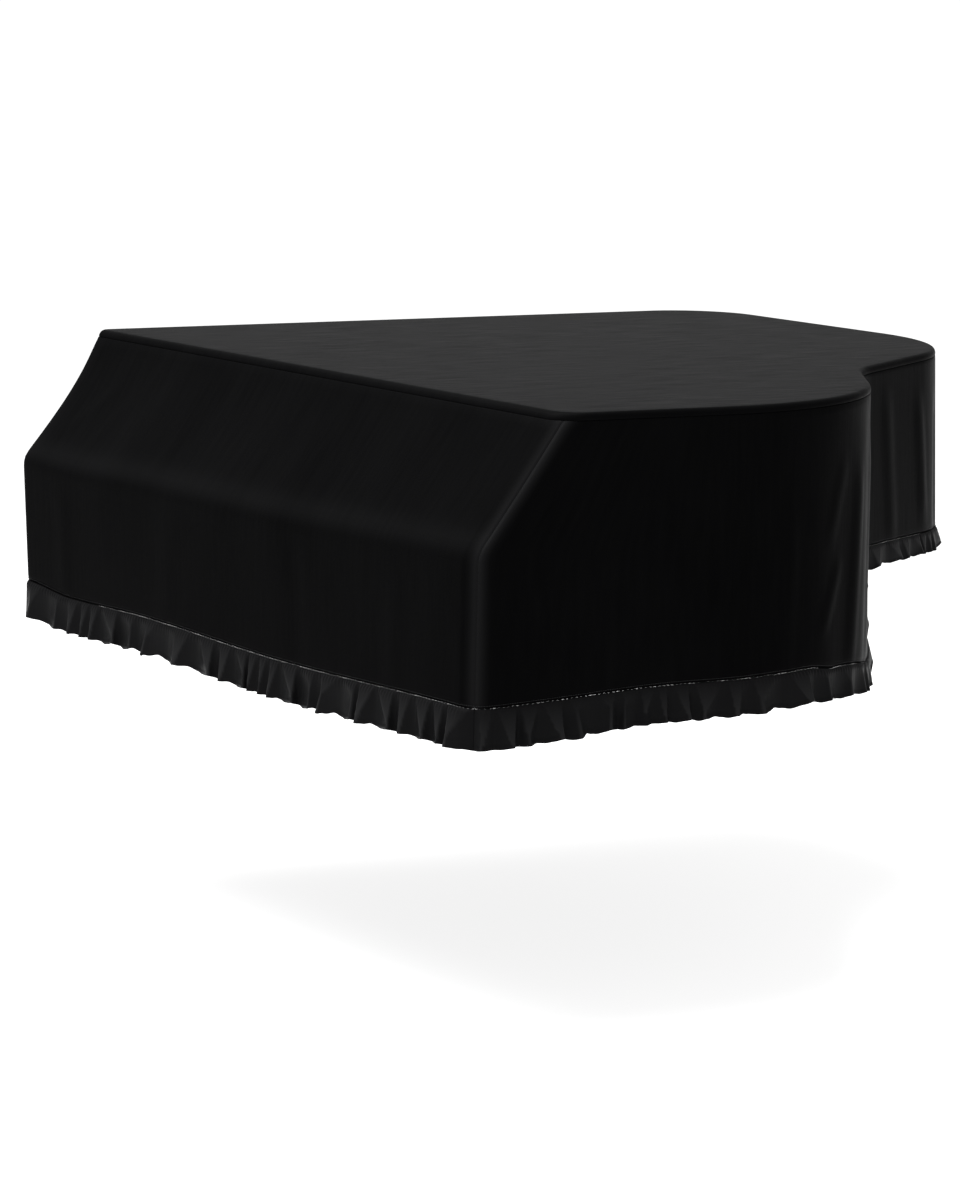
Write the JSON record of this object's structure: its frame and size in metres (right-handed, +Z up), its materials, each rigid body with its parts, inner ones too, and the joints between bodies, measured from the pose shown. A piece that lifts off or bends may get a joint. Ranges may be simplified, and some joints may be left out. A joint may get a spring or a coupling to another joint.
{
  "type": "grand piano cover",
  "caption": "Fitted black cloth cover for a small grand piano: flat lid-shaped top, sloping key front, straight walls and a gathered ruffle along the hem.",
  "frame": {"origin": "on the underside of the top panel, where the piano's lid carries it, midway across the keyboard and about halfway back", "axes": "+Z up, out of the top; the keyboard front faces -Y; the treble side, with the bent wall, is +X"},
  "size_m": [1.6066, 1.5916, 0.5367],
  "materials": {
    "black_cloth": "matt black brushed cloth with a faint pale sheen at low angles",
    "ruffle_cloth": "the same black cloth, gathered, a little paler where its folds catch the light"
  },
  "bodies": {
    "root": {"top_panel": "black_cloth", "front_panel": "black_cloth", "treble_panel": "black_cloth", "tail_panel": "black_cloth", "bass_panel": "black_cloth", "front_ruffle": "ruffle_cloth", "treble_ruffle": "ruffle_cloth", "tail_ruffle": "ruffle_cloth", "bass_ruffle": "ruffle_cloth"}
  },
  "joints": []
}
